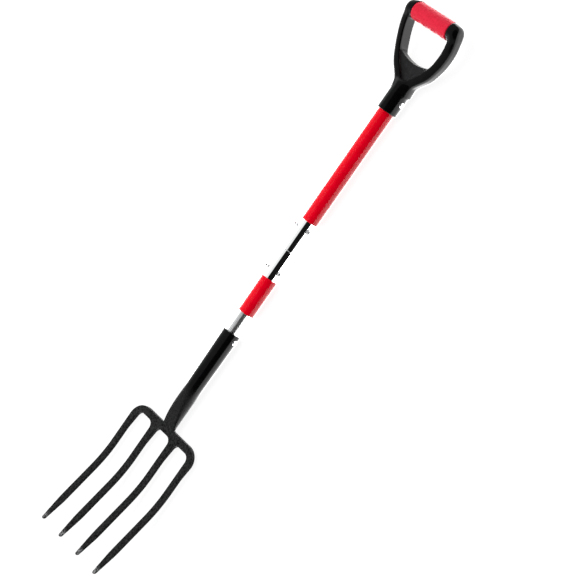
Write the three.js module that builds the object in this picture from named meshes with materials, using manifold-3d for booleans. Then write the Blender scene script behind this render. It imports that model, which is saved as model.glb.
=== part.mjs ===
// Digging fork with a D-handle, lying on its back with the tines curving up.
// Millimetres. +X runs along the shaft towards the handle, +Z is up, and +Y runs across the
// tines. The origin is below the middle of the tool, on the surface that it lies on.
import * as THREE from 'three';
import { mergeVertices } from 'three/addons/utils/BufferGeometryUtils.js';
import Module from 'manifold-3d';

const wasm = await Module();
wasm.setup();

// ---------------------------------------------------------------- driving dimensions
const LENGTH = 1118; // tine tips to the back of the hand grip
const GAP = 0.3; // clearance between touching pieces
const COLLAR_R = 18.9; // handle collar, the thickest round part, which touches the ground
const AXIS_Z = COLLAR_R; // height of the shaft's axis
const ROUND = 32; // sides of a round piece

// fork head: a crossbar and four tines forged in one piece
const TINE_PITCH = 54.5;
const TINE_COUNT = 4;
const TINE_W = 12;
const TIP_W = 4.8;
const TAPER_LENGTH = 46;
const TIP_X = -LENGTH / 2;
const BAR_OUTER_X = -291.8; // tread side of the crossbar
const BAR_W = 13.2;
const BAR_INNER_X = BAR_OUTER_X - BAR_W;
const HEAD_TOP_Z = -1.5; // below the shaft's axis
const ROOT_THICK = 10;
const TINE_THICK = 5.6;
const TIP_THICK = 3.6;
const BEND_START_X = -376;
const BEND_R = 232;
const BEND_ANGLE = THREE.MathUtils.degToRad(15.2);
const SHOULDER_R = 28; // outer corner of the crossbar
const CROTCH_R = 12; // inner corners between tines and crossbar

// socket of the fork head
const SOCKET_MOUTH_X = -91.2;
const SOCKET_MOUTH_R = 16.8;
const SOCKET_NECK_R = 15.4;
const SOCKET_NECK_X = -200; // the front face begins to slope down to the crossbar here
const SOCKET_END_X = BAR_OUTER_X + GAP;
const SOCKET_BORE_END_X = -204;
const HEEL_X = -260; // the socket's underside rises from here to the back of the crossbar
const WELD_LEG = 2.2;

// two-piece shaft with an inner connector
const TUBE_R = 12.5;
const TUBE_WALL = 1.6;
const SEAM_X = 81.1;
const LOWER_TUBE_START_X = -202;
const UPPER_TUBE_END_X = 414;
const CONNECTOR_R = 10.6;
const CONNECTOR_WALL = 2;
const CONNECTOR_HALF = 68;

// red sleeves over the shaft
const SLEEVE_R = 15.1;
const LOWER_SLEEVE_X = [-50.3, 22.7];
const UPPER_SLEEVE_X = [141.8, 408];

// D-handle: a collar in line with the shaft, and a frame that leans up from it
const COLLAR_START_X = 371.2;
const FRAME_X = 422;
const FRAME_LEAN = THREE.MathUtils.degToRad(15);
const FRAME_THICK = 26;
const FRAME_SAG = 4.4; // the legs dip below a straight line from collar to grip
const FRAME_ROUND = 7.5; // rounding of the legs' long edges
const LEG_W = 17;
const WEB_THICK = 14;
const GRIP_U = 124; // along the leaning frame from FRAME_X to the grip's axis
const GRIP_R = 17;
const GRIP_HALF = 43.6;
const BAR_R = 11;
const BOSS_R = 15.4; // end of the bar, next to the grip

// fasteners, all across the shaft along Y, with their heads on the -Y side
const BOLT_X = [38.6, 126.3];
const BOLT_R = 3;
const BOLT_HOLE_R = 3.4;
const BOLT_HEAD_R = 5.8;
const BOLT_HEAD_H = 4; // dome head
const BOLT_SOCKET_R = 2; // hexagon key socket in the dome
const BOLT_SOCKET_DEPTH = 2;
const BOLT_LENGTH = 40;
const WASHER_R = 6.2;
const WASHER_H = 1.2;
const NUT_R = 5.7;
const NUT_H = 5;
const RIVET_R = 2.5;
const RIVET_HOLE_R = 2.9;
const RIVET_HEAD_R = 4.8;
const RIVET_HEAD_H = 3.2;
const SOCKET_RIVET_X = -102.9;
const HANDLE_RIVET_X = 394.6;

// ---------------------------------------------------------------- solids and booleans
// Turns a closed geometry into a solid for cutting and joining.
function toSolid(geometry) {
  const bare = geometry.clone();
  bare.deleteAttribute('normal');
  bare.deleteAttribute('uv');
  const merged = mergeVertices(bare, 1e-4);
  return new wasm.Manifold(new wasm.Mesh({
    numProp: 3,
    vertProperties: new Float32Array(merged.attributes.position.array),
    triVerts: new Uint32Array(merged.index.array),
  }));
}

function toGeometry(solid) {
  const mesh = solid.getMesh();
  const geometry = new THREE.BufferGeometry();
  geometry.setAttribute('position', new THREE.BufferAttribute(mesh.vertProperties, 3));
  geometry.setIndex(new THREE.BufferAttribute(mesh.triVerts, 1));
  geometry.computeVertexNormals();
  return geometry;
}

// An outline drawn in (y, z) and pushed from x0 to x1.
function alongX(shape, x0, x1, options = {}) {
  const settings = { depth: x1 - x0, bevelEnabled: false, curveSegments: 8, ...options };
  const basis = new THREE.Matrix4().makeBasis(
    new THREE.Vector3(0, 1, 0), new THREE.Vector3(0, 0, 1), new THREE.Vector3(1, 0, 0));
  return new THREE.ExtrudeGeometry(shape, settings).applyMatrix4(basis).translate(x0, 0, 0);
}

// An outline drawn in (x, z) and pushed across the tool, centred on y = 0.
function alongY(shape, width) {
  const basis = new THREE.Matrix4().makeBasis(
    new THREE.Vector3(1, 0, 0), new THREE.Vector3(0, 0, 1), new THREE.Vector3(0, -1, 0));
  const settings = { depth: width, bevelEnabled: false, curveSegments: 8 };
  return new THREE.ExtrudeGeometry(shape, settings).applyMatrix4(basis).translate(0, width / 2, 0);
}

// A profile of [x, radius] points, outer wall in falling x, turned about the X axis.
function turnedX(profile, sides = ROUND) {
  const points = profile.map(([x, radius]) => new THREE.Vector2(radius, x));
  const basis = new THREE.Matrix4().makeBasis(
    new THREE.Vector3(0, 1, 0), new THREE.Vector3(1, 0, 0), new THREE.Vector3(0, 0, -1));
  return new THREE.LatheGeometry(points, sides).applyMatrix4(basis);
}

// A profile of [y, radius] points in rising y, turned about the Y axis.
function turnedY(profile, sides = ROUND) {
  const points = profile.map(([y, radius]) => new THREE.Vector2(radius, y));
  return new THREE.LatheGeometry(points, sides);
}

// A pipe on the X axis between two stations.
function pipeX(x0, x1, outerR, innerR) {
  return turnedX([[x0, innerR], [x0, outerR], [x1, outerR], [x1, innerR], [x0, innerR]]);
}

// Cross holes along Y through a solid on the shaft.
function drilled(solid, stations, radius) {
  let result = solid;
  for (const x of stations) {
    const drill = new THREE.CylinderGeometry(radius, radius, 80, 16).translate(x, 0, 0);
    result = result.subtract(toSolid(drill));
  }
  return result;
}

// ---------------------------------------------------------------- materials
const finish = (color, roughness, metalness) => ({ color, roughness, metalness });
const FORGED_BLACK = finish(0x2b2b2c, 0.72, 0.25);
const GLOSS_BLACK = finish(0x0c0c0d, 0.32, 0.2);
const CHROME = finish(0xdfe1e4, 0.1, 1);
const SLEEVE_RED = finish(0xd3061b, 0.28, 0);
const MOULDED_BLACK = finish(0x141414, 0.45, 0);
const RUBBER_RED = finish(0xe0314f, 0.7, 0);
const ZINC = finish(0xb9bcc0, 0.3, 1);

const tool = new THREE.Group();
tool.position.z = AXIS_Z;

function add(name, geometry, look, parent = tool) {
  const mesh = new THREE.Mesh(geometry, new THREE.MeshStandardMaterial(look));
  mesh.name = name;
  parent.add(mesh);
  return mesh;
}

// ---------------------------------------------------------------- fork head
const tineY = (i) => ((TINE_COUNT - 1) / 2 - i) * TINE_PITCH;
const HEAD_HALF_WIDTH = tineY(0) + TINE_W / 2;

// Plan of the head: a comb with round shoulders, round crotches and tapered tips.
function headPlan() {
  const plan = new THREE.Shape();
  const half = TINE_W / 2;
  const tipHalf = TIP_W / 2;
  const taperX = TIP_X + TAPER_LENGTH;
  const tineEdges = (y, last) => {
    plan.lineTo(taperX, y + half);
    plan.lineTo(TIP_X + tipHalf, y + tipHalf);
    plan.absarc(TIP_X + tipHalf, y, tipHalf, Math.PI / 2, 1.5 * Math.PI, false);
    plan.lineTo(taperX, y - half);
    if (!last) {
      const crotchX = BAR_INNER_X - CROTCH_R;
      const below = y - half - CROTCH_R;
      const above = y - TINE_PITCH + half + CROTCH_R;
      plan.absarc(crotchX, below, CROTCH_R, Math.PI / 2, 0, true);
      plan.absarc(crotchX, above, CROTCH_R, 0, -Math.PI / 2, true);
    }
  };
  const shoulderX = BAR_OUTER_X - SHOULDER_R;
  const shoulderY = HEAD_HALF_WIDTH - SHOULDER_R;
  plan.absarc(shoulderX, shoulderY, SHOULDER_R, 0, Math.PI / 2, false);
  for (let i = 0; i < TINE_COUNT; i += 1) {
    tineEdges(tineY(i), i === TINE_COUNT - 1);
  }
  plan.absarc(shoulderX, -shoulderY, SHOULDER_R, -Math.PI / 2, 0, false);
  plan.closePath();
  return plan;
}

// Side profile: flat and deep at the crossbar, thinner in the tines, which curve up.
function headProfile() {
  const profile = new THREE.Shape();
  const run = BEND_R * Math.sin(BEND_ANGLE);
  const rise = BEND_R * (1 - Math.cos(BEND_ANGLE));
  const bendEnd = new THREE.Vector2(BEND_START_X - run, HEAD_TOP_Z + rise);
  const slope = Math.tan(BEND_ANGLE);
  const overrun = 2;
  const tipTop = bendEnd.y + slope * (bendEnd.x - TIP_X + overrun);
  const bendCentreZ = HEAD_TOP_Z + BEND_R;
  const lowerR = BEND_R + TINE_THICK;
  profile.moveTo(BAR_OUTER_X, HEAD_TOP_Z);
  profile.lineTo(BEND_START_X, HEAD_TOP_Z);
  profile.absarc(BEND_START_X, bendCentreZ, BEND_R, -Math.PI / 2, -Math.PI / 2 - BEND_ANGLE, true);
  profile.lineTo(TIP_X - overrun, tipTop);
  profile.lineTo(TIP_X - overrun, tipTop - TIP_THICK);
  const lowerEndX = BEND_START_X - lowerR * Math.sin(BEND_ANGLE);
  const lowerEndZ = bendCentreZ - lowerR * Math.cos(BEND_ANGLE);
  const taperX = TIP_X + TAPER_LENGTH;
  profile.lineTo(taperX, lowerEndZ + slope * (lowerEndX - taperX));
  profile.absarc(BEND_START_X, bendCentreZ, lowerR, -Math.PI / 2 - BEND_ANGLE, -Math.PI / 2, false);
  profile.lineTo(BAR_INNER_X - 44, HEAD_TOP_Z - TINE_THICK);
  profile.quadraticCurveTo(BAR_INNER_X - 26, HEAD_TOP_Z - TINE_THICK - 0.6,
    BAR_INNER_X - 12, HEAD_TOP_Z - ROOT_THICK + 0.8);
  profile.lineTo(BAR_INNER_X, HEAD_TOP_Z - ROOT_THICK);
  profile.lineTo(BAR_OUTER_X, HEAD_TOP_Z - ROOT_THICK);
  profile.closePath();
  return profile;
}

function forkHead() {
  const side = toSolid(alongY(headProfile(), 2 * HEAD_HALF_WIDTH + 10));
  const planSettings = { depth: 120, bevelEnabled: false, curveSegments: 8 };
  const plan = toSolid(new THREE.ExtrudeGeometry(headPlan(), planSettings).translate(0, 0, -40));
  return toGeometry(side.intersect(plan));
}

// ---------------------------------------------------------------- socket and its weld
// Round socket whose front slopes down, along a parabola, to the face of the crossbar, and
// whose underside rises to the crossbar's back.
function headSocket() {
  const body = toSolid(turnedX([
    [SOCKET_END_X, 0],
    [SOCKET_END_X, SOCKET_NECK_R],
    [SOCKET_NECK_X, SOCKET_NECK_R],
    [SOCKET_MOUTH_X, SOCKET_MOUTH_R],
    [SOCKET_MOUTH_X, TUBE_R + GAP],
    [SOCKET_BORE_END_X, TUBE_R + GAP],
    [SOCKET_BORE_END_X, 0],
  ]));
  const slope = new THREE.Shape();
  const margin = 10;
  slope.moveTo(SOCKET_NECK_X, SOCKET_NECK_R);
  slope.quadraticCurveTo((SOCKET_NECK_X + SOCKET_END_X) / 2, SOCKET_NECK_R,
    SOCKET_END_X, HEAD_TOP_Z);
  slope.lineTo(SOCKET_END_X - margin, HEAD_TOP_Z);
  slope.lineTo(SOCKET_END_X - margin, SOCKET_NECK_R + margin);
  slope.lineTo(SOCKET_NECK_X, SOCKET_NECK_R + margin);
  slope.closePath();
  const heel = new THREE.Shape();
  heel.moveTo(HEEL_X, -SOCKET_NECK_R);
  heel.lineTo(HEEL_X, -SOCKET_NECK_R - margin);
  heel.lineTo(SOCKET_END_X - margin, -SOCKET_NECK_R - margin);
  heel.lineTo(SOCKET_END_X - margin, HEAD_TOP_Z - ROOT_THICK);
  heel.lineTo(SOCKET_END_X, HEAD_TOP_Z - ROOT_THICK);
  heel.closePath();
  const cut = body.subtract(toSolid(alongY(slope, 4 * SOCKET_NECK_R)))
    .subtract(toSolid(alongY(heel, 4 * SOCKET_NECK_R)));
  return toGeometry(drilled(cut, [SOCKET_RIVET_X], RIVET_HOLE_R));
}

// Fillet bead on one side of the socket, down the tread side of the crossbar.
function socketWeld(side) {
  const bead = new THREE.Shape();
  const inner = SOCKET_NECK_R + GAP;
  const outer = inner + WELD_LEG;
  const bevel = 0.8;
  const topAngle = Math.asin((HEAD_TOP_Z - bevel) / inner);
  const lowAngle = Math.asin((HEAD_TOP_Z - ROOT_THICK + 2 * bevel) / outer);
  const [start, end] = side > 0 ? [lowAngle, topAngle] : [Math.PI - topAngle, Math.PI - lowAngle];
  bead.absarc(0, 0, outer - bevel, start, end, false);
  bead.absarc(0, 0, inner + bevel, end, start, true);
  bead.closePath();
  const x0 = BAR_OUTER_X + GAP + bevel;
  return alongX(bead, x0, x0 + WELD_LEG - 2 * bevel, {
    curveSegments: 10, bevelEnabled: true, bevelThickness: bevel, bevelSize: bevel, bevelSegments: 2,
  });
}

// ---------------------------------------------------------------- D-handle
// Plan of the leaning frame, drawn in (u, v): u along the frame, v across the tool.
const LEG_OUTER = [[30, 43], [52, 54.4], [70, 61], [92, 66]];
const CORNER = { u: 114.5, v: 40.5, r: 26.5 };
const OPENING_FOOT_U = 44;

function frameOutline(inset) {
  const side = LEG_OUTER.map(([u, v]) => new THREE.Vector2(u, v - inset));
  const outline = new THREE.Shape();
  const cornerR = CORNER.r - inset;
  outline.moveTo(-6, -(COLLAR_R - inset));
  outline.splineThru([new THREE.Vector2(8, -(24 - inset)), ...mirrored(side),
    new THREE.Vector2(CORNER.u, -(CORNER.v + cornerR))]);
  outline.absarc(CORNER.u, -CORNER.v, cornerR, -Math.PI / 2, 0, false);
  outline.absarc(CORNER.u, CORNER.v, cornerR, 0, Math.PI / 2, false);
  outline.splineThru([...side].reverse().concat([new THREE.Vector2(8, 24 - inset),
    new THREE.Vector2(-6, COLLAR_R - inset)]));
  outline.closePath();
  return outline;
}

function mirrored(points) {
  return points.map((point) => new THREE.Vector2(point.x, -point.y));
}

// The hand opening: its foot is a shallow arc, and its sides follow the legs.
function handOpening(footU, inset) {
  const opening = new THREE.Path();
  const side = LEG_OUTER.slice(1).map(([u, v]) => new THREE.Vector2(u, v - LEG_W + inset));
  const topU = CORNER.u;
  const sideV = CORNER.v + CORNER.r - LEG_W + inset;
  opening.moveTo(footU - inset, 0);
  opening.splineThru([new THREE.Vector2(footU + 2 - inset, 18),
    new THREE.Vector2(footU + 9, 36 + inset), ...side.slice(1), new THREE.Vector2(topU, sideV)]);
  opening.lineTo(topU, -sideV);
  opening.splineThru([...mirrored(side.slice(1))].reverse().concat([
    new THREE.Vector2(footU + 9, -36 - inset),
    new THREE.Vector2(footU + 2 - inset, -18),
    new THREE.Vector2(footU - inset, 0)]));
  opening.closePath();
  return opening;
}

// Hollow between the legs down to the web, on both faces of the frame.
function webRecess() {
  const recess = new THREE.Shape();
  recess.moveTo(9, 0);
  recess.splineThru([new THREE.Vector2(20, 12), new THREE.Vector2(36, 26.5),
    new THREE.Vector2(62, 42)]);
  recess.lineTo(62, -42);
  recess.splineThru([new THREE.Vector2(36, -26.5), new THREE.Vector2(20, -12),
    new THREE.Vector2(9, 0)]);
  recess.closePath();
  return recess;
}

// Lowers a point [u, v, w] of the frame, most of all halfway to the grip.
function sag(point) {
  const along = THREE.MathUtils.clamp(point[0] / GRIP_U, 0, 1);
  point[2] -= FRAME_SAG * Math.sin(Math.PI * along);
}

function handleYoke() {
  const ringShape = frameOutline(FRAME_ROUND);
  ringShape.holes.push(handOpening(OPENING_FOOT_U, FRAME_ROUND));
  const ring = toSolid(new THREE.ExtrudeGeometry(ringShape, {
    depth: FRAME_THICK - 2 * FRAME_ROUND,
    curveSegments: 5,
    bevelEnabled: true,
    bevelThickness: FRAME_ROUND,
    bevelSize: FRAME_ROUND,
    bevelSegments: 3,
  }).translate(0, 0, FRAME_ROUND - FRAME_THICK / 2));
  const recessDepth = (FRAME_THICK - WEB_THICK) / 2;
  let frame = ring;
  for (const side of [-1, 1]) {
    const floorZ = side > 0 ? WEB_THICK / 2 : -WEB_THICK / 2 - recessDepth - 5;
    const settings = { depth: recessDepth + 5, bevelEnabled: false, curveSegments: 6 };
    const pocket = new THREE.ExtrudeGeometry(webRecess(), settings).translate(0, 0, floorZ);
    frame = frame.subtract(toSolid(pocket));
  }
  frame = frame.warp(sag);
  const room = GRIP_HALF + GAP;
  const clearing = new THREE.BoxGeometry(60, 2 * room, 2 * FRAME_THICK)
    .translate(GRIP_U + 8, 0, 0);
  frame = frame.subtract(toSolid(clearing));
  const barEnds = turnedY([
    [-CORNER.v - CORNER.r + 4, 0], [-CORNER.v - CORNER.r + 6, 9], [-room - 8, BOSS_R],
    [-room, BOSS_R], [-room, BAR_R], [room, BAR_R], [room, BOSS_R], [room + 8, BOSS_R],
    [CORNER.v + CORNER.r - 6, 9], [CORNER.v + CORNER.r - 4, 0],
  ]).translate(GRIP_U, 0, 0);
  frame = frame.add(toSolid(barEnds));
  const lean = new THREE.Matrix4().makeRotationY(-FRAME_LEAN).setPosition(FRAME_X, 0, 0);
  const leaning = toSolid(toGeometry(frame).applyMatrix4(lean));

  const collar = toSolid(turnedX([
    [COLLAR_START_X, 0], [COLLAR_START_X, COLLAR_R], [FRAME_X + 2, COLLAR_R], [FRAME_X + 14, 0],
  ]));
  const bore = toSolid(turnedX([
    [COLLAR_START_X - 5, 0], [COLLAR_START_X - 5, SLEEVE_R + GAP],
    [UPPER_SLEEVE_X[1] + GAP, SLEEVE_R + GAP], [UPPER_SLEEVE_X[1] + GAP, TUBE_R + GAP],
    [UPPER_TUBE_END_X + GAP, TUBE_R + GAP], [UPPER_TUBE_END_X + GAP, 0],
  ]));
  const body = leaning.add(collar).subtract(bore);
  return toGeometry(drilled(body, [HANDLE_RIVET_X], RIVET_HOLE_R));
}

// Rubber tube over the bar, with rounded rims.
function handGrip() {
  const rim = 1.4;
  const inner = BAR_R + GAP;
  return turnedY([
    [-GRIP_HALF, inner], [-GRIP_HALF, GRIP_R - rim], [-GRIP_HALF + rim, GRIP_R],
    [GRIP_HALF - rim, GRIP_R], [GRIP_HALF, GRIP_R - rim], [GRIP_HALF, inner], [-GRIP_HALF, inner],
  ]);
}

// ---------------------------------------------------------------- fasteners
const headSeat = -(TUBE_R + GAP + WASHER_H + GAP);

function boltShape() {
  const shankEnd = headSeat + BOLT_LENGTH;
  const shank = toSolid(turnedY([
    [headSeat - 1, 0], [headSeat - 1, BOLT_R], [shankEnd - 0.8, BOLT_R], [shankEnd, BOLT_R - 0.8],
    [shankEnd, 0],
  ], 16));
  const crown = headSeat - BOLT_HEAD_H;
  const dome = [[crown, 0], [crown, 0.4 * BOLT_HEAD_R]];
  for (const angle of [60, 40, 20, 0].map(THREE.MathUtils.degToRad)) {
    const y = headSeat - 0.6 - (BOLT_HEAD_H - 0.6) * Math.sin(angle);
    dome.push([y, BOLT_HEAD_R * Math.cos(angle)]);
  }
  dome.push([headSeat, BOLT_HEAD_R], [headSeat, 0]);
  const socket = new THREE.CylinderGeometry(BOLT_SOCKET_R, BOLT_SOCKET_R, 2 * BOLT_SOCKET_DEPTH, 6)
    .translate(0, crown, 0);
  return toGeometry(shank.add(toSolid(turnedY(dome, 24))).subtract(toSolid(socket)));
}

function washerShape() {
  const inner = BOLT_R + GAP;
  return turnedY([[0, inner], [0, WASHER_R], [WASHER_H, WASHER_R], [WASHER_H, inner], [0, inner]],
    24);
}

function nutShape() {
  const hex = new THREE.CylinderGeometry(NUT_R, NUT_R, NUT_H, 6);
  const hole = new THREE.CylinderGeometry(BOLT_R + GAP, BOLT_R + GAP, NUT_H + 2, 16);
  return toGeometry(toSolid(hex).subtract(toSolid(hole)));
}

// A rivet through a round part: a dome head on each side and the shank between them.
function rivetShape(bodyR) {
  const seat = bodyR + GAP;
  const crown = seat + RIVET_HEAD_H;
  const dome = [[seat, RIVET_HEAD_R], [seat + 0.45 * RIVET_HEAD_H, 0.88 * RIVET_HEAD_R],
    [seat + 0.82 * RIVET_HEAD_H, 0.55 * RIVET_HEAD_R], [crown, 0]];
  const lowerDome = dome.map(([y, radius]) => [-y, radius]).reverse();
  return turnedY([...lowerDome, [-seat, RIVET_R], [seat, RIVET_R], ...dome], 20);
}

// ---------------------------------------------------------------- assembly
add('fork_head', forkHead(), FORGED_BLACK);
add('head_socket', headSocket(), GLOSS_BLACK);
add('far_socket_weld', socketWeld(1), FORGED_BLACK);
add('near_socket_weld', socketWeld(-1), FORGED_BLACK);

const innerTubeR = TUBE_R - TUBE_WALL;
const lowerTube = toSolid(pipeX(LOWER_TUBE_START_X, SEAM_X - GAP / 2, TUBE_R, innerTubeR));
add('lower_tube', toGeometry(drilled(drilled(lowerTube, [SOCKET_RIVET_X], RIVET_HOLE_R),
  [BOLT_X[0]], BOLT_HOLE_R)), CHROME);
const upperTube = toSolid(pipeX(SEAM_X + GAP / 2, UPPER_TUBE_END_X, TUBE_R, innerTubeR));
add('upper_tube', toGeometry(drilled(drilled(upperTube, [HANDLE_RIVET_X], RIVET_HOLE_R),
  [BOLT_X[1]], BOLT_HOLE_R)), CHROME);
const connector = toSolid(pipeX(SEAM_X - CONNECTOR_HALF, SEAM_X + CONNECTOR_HALF,
  CONNECTOR_R, CONNECTOR_R - CONNECTOR_WALL));
add('tube_connector', toGeometry(drilled(connector, BOLT_X, BOLT_HOLE_R)), ZINC);

add('lower_sleeve', pipeX(...LOWER_SLEEVE_X, SLEEVE_R, TUBE_R + GAP), SLEEVE_RED);
const upperSleeve = toSolid(pipeX(...UPPER_SLEEVE_X, SLEEVE_R, TUBE_R + GAP));
add('upper_sleeve', toGeometry(drilled(upperSleeve, [HANDLE_RIVET_X], RIVET_HOLE_R)), SLEEVE_RED);

add('handle_yoke', handleYoke(), MOULDED_BLACK);
const leaningFrame = new THREE.Group();
leaningFrame.position.x = FRAME_X;
leaningFrame.rotation.y = -FRAME_LEAN;
tool.add(leaningFrame);
add('hand_grip', handGrip(), RUBBER_RED, leaningFrame).position.x = GRIP_U;

const bolt = boltShape();
const washer = washerShape();
const nut = nutShape();
['lower', 'upper'].forEach((which, i) => {
  const station = new THREE.Group();
  station.position.x = BOLT_X[i];
  tool.add(station);
  add(`${which}_joint_bolt`, bolt, ZINC, station);
  add(`${which}_head_washer`, washer, ZINC, station).position.y = headSeat + GAP;
  add(`${which}_nut_washer`, washer, ZINC, station).position.y = TUBE_R + GAP;
  const nutY = TUBE_R + GAP + WASHER_H + GAP + NUT_H / 2;
  add(`${which}_joint_nut`, nut, ZINC, station).position.y = nutY;
});

const socketRivetBodyR = THREE.MathUtils.mapLinear(
  SOCKET_RIVET_X, SOCKET_NECK_X, SOCKET_MOUTH_X, SOCKET_NECK_R, SOCKET_MOUTH_R);
add('socket_rivet', rivetShape(socketRivetBodyR), ZINC).position.x = SOCKET_RIVET_X;
add('handle_rivet', rivetShape(COLLAR_R), ZINC).position.x = HANDLE_RIVET_X;

export default tool;
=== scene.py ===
"""Digging fork: detailed pieces, materials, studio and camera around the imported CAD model.

The tool's shapes are worked out in millimetres with the shaft's axis on z = 0, and stored in
metres. The studio is in metres.
"""
import math

import bpy
import numpy as np
from mathutils import Matrix, Vector


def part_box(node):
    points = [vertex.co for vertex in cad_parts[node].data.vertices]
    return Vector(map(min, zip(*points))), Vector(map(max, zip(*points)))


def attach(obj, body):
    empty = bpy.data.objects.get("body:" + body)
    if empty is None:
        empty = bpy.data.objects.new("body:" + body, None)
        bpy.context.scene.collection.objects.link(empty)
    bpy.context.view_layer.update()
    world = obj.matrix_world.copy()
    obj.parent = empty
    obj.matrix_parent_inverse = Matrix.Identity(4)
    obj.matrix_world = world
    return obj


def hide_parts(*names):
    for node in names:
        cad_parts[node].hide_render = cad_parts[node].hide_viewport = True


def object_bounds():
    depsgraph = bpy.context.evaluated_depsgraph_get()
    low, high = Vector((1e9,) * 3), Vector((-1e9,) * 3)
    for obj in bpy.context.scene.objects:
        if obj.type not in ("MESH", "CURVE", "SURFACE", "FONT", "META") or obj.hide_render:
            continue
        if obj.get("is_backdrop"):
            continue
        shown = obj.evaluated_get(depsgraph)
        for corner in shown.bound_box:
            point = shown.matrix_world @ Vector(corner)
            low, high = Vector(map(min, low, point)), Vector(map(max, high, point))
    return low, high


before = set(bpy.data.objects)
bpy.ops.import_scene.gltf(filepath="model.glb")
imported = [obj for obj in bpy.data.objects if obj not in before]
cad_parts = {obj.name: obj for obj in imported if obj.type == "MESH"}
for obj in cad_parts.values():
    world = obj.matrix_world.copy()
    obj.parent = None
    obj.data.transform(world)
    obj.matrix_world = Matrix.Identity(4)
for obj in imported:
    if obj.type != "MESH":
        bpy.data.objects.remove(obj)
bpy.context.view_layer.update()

tube_low, tube_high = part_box("lower_tube")
AXIS_Z = (tube_low.z + tube_high.z) / 2


def span(node):
    """A CAD node's lowest and highest corners in millimetres, with z from the shaft's axis."""
    low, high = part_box(node)
    shift = Vector((0, 0, AXIS_Z))
    return (low - shift) * 1000, (high - shift) * 1000


# ------------------------------------------------------------------ studio and camera
LENS = 120.48
SENSOR = 36.0
CAMERA_AZIMUTH = math.radians(10.12)
CAMERA_ELEVATION = math.radians(51.29)
CAMERA_ROLL = math.radians(-63.0)
CAMERA_DISTANCE = 3.31585
CAMERA_RIGHT = 0.04326
CAMERA_UP = 0.00368
# The room changes its brightness at these angles from the direction of the camera's place.
DARK_WALL_INNER = 40
DARK_WALL_OUTER = 46
REAR_START = 82
REAR_FULL = 108
WORLD_DARK = 0.01
WORLD_LIGHT = 1.2
REAR_LIGHT = 3.2


def towards(azimuth, elevation):
    """Unit vector from the tool towards a viewer or a lamp."""
    return Vector((
        math.sin(azimuth) * math.cos(elevation),
        -math.cos(azimuth) * math.cos(elevation),
        math.sin(elevation),
    ))


def make_camera():
    """A long lens that looks at the tool from the angle, distance and roll given above."""
    back = towards(CAMERA_AZIMUTH, CAMERA_ELEVATION)
    level = Vector((math.cos(CAMERA_AZIMUTH), math.sin(CAMERA_AZIMUTH), 0))
    upright = back.cross(level)
    turn_c, turn_s = math.cos(CAMERA_ROLL), math.sin(CAMERA_ROLL)
    right = level * turn_c + upright * turn_s
    up = upright * turn_c - level * turn_s
    place = (
        Vector((0, 0, AXIS_Z))
        + back * CAMERA_DISTANCE
        + right * CAMERA_RIGHT
        + up * CAMERA_UP
    )
    data = bpy.data.cameras.new("camera")
    data.lens = LENS
    data.sensor_width = SENSOR
    data.clip_start = 0.05
    data.clip_end = 50
    camera = bpy.data.objects.new("camera", data)
    camera.matrix_world = Matrix.Translation(place) @ Matrix(
        (right, up, back)
    ).transposed().to_4x4()
    bpy.context.scene.collection.objects.link(camera)
    bpy.context.scene.camera = camera


def make_lamp(name, azimuth, elevation, distance, width, height, power):
    """A soft rectangular lamp that faces the middle of the tool."""
    direction = towards(math.radians(azimuth), math.radians(elevation))
    data = bpy.data.lights.new(name, "AREA")
    data.shape = "RECTANGLE"
    data.size = width
    data.size_y = height
    data.energy = power
    lamp = bpy.data.objects.new(name, data)
    lamp.visible_glossy = False
    lamp.rotation_mode = "QUATERNION"
    lamp.rotation_quaternion = direction.to_track_quat("Z", "Y")
    lamp.location = direction * distance
    bpy.context.scene.collection.objects.link(lamp)


def ranged(tree, value, start, end, at_start, at_end, easing="SMOOTHSTEP"):
    """Runs from at_start to at_end while the value runs from start to end."""
    node = tree.nodes.new("ShaderNodeMapRange")
    node.interpolation_type = easing
    limits = {"From Min": start, "From Max": end, "To Min": at_start, "To Max": at_end}
    for key, limit in limits.items():
        node.inputs[key].default_value = limit
    tree.links.new(value, node.inputs["Value"])
    return node.outputs["Result"]


def make_world():
    """A white room, brightest at the back, with one dark wall behind the camera's place."""
    world = bpy.data.worlds.new("studio_world")
    bpy.context.scene.world = world
    world.use_nodes = True
    tree = world.node_tree
    tree.nodes.clear()
    direction = tree.nodes.new("ShaderNodeTexCoord")
    dot = tree.nodes.new("ShaderNodeVectorMath")
    dot.operation = "DOT_PRODUCT"
    dot.inputs[1].default_value = towards(CAMERA_AZIMUTH, CAMERA_ELEVATION)
    tree.links.new(direction.outputs["Generated"], dot.inputs[0])
    facing = dot.outputs["Value"]
    inner, outer, start, full = (
        math.cos(math.radians(angle))
        for angle in (DARK_WALL_INNER, DARK_WALL_OUTER, REAR_START, REAR_FULL))
    wall = ranged(tree, facing, outer, inner, WORLD_LIGHT, WORLD_DARK)
    rear = ranged(tree, facing, start, full, 0, REAR_LIGHT - WORLD_LIGHT)
    total = tree.nodes.new("ShaderNodeMath")
    total.operation = "ADD"
    background = tree.nodes.new("ShaderNodeBackground")
    output = tree.nodes.new("ShaderNodeOutputWorld")
    tree.links.new(wall, total.inputs[0])
    tree.links.new(rear, total.inputs[1])
    tree.links.new(total.outputs["Value"], background.inputs["Strength"])
    tree.links.new(background.outputs["Background"], output.inputs["Surface"])


make_camera()
make_world()
make_lamp(
    "top_lamp", azimuth=190, elevation=80, distance=2.8, width=3.4, height=2.4, power=90)
bpy.context.scene.view_settings.view_transform = "Standard"
bpy.context.scene.view_settings.look = "None"


# ------------------------------------------------------------------ materials
NOISE_LOW = 0.3  # nearly all of the noise lies between these two
NOISE_HIGH = 0.7
# Numbers of a Mix node's first input and its result, because their names repeat for each kind.
MIX_INPUT = {"FLOAT": 2, "RGBA": 6}
MIX_RESULT = {"FLOAT": 0, "RGBA": 2}


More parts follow.
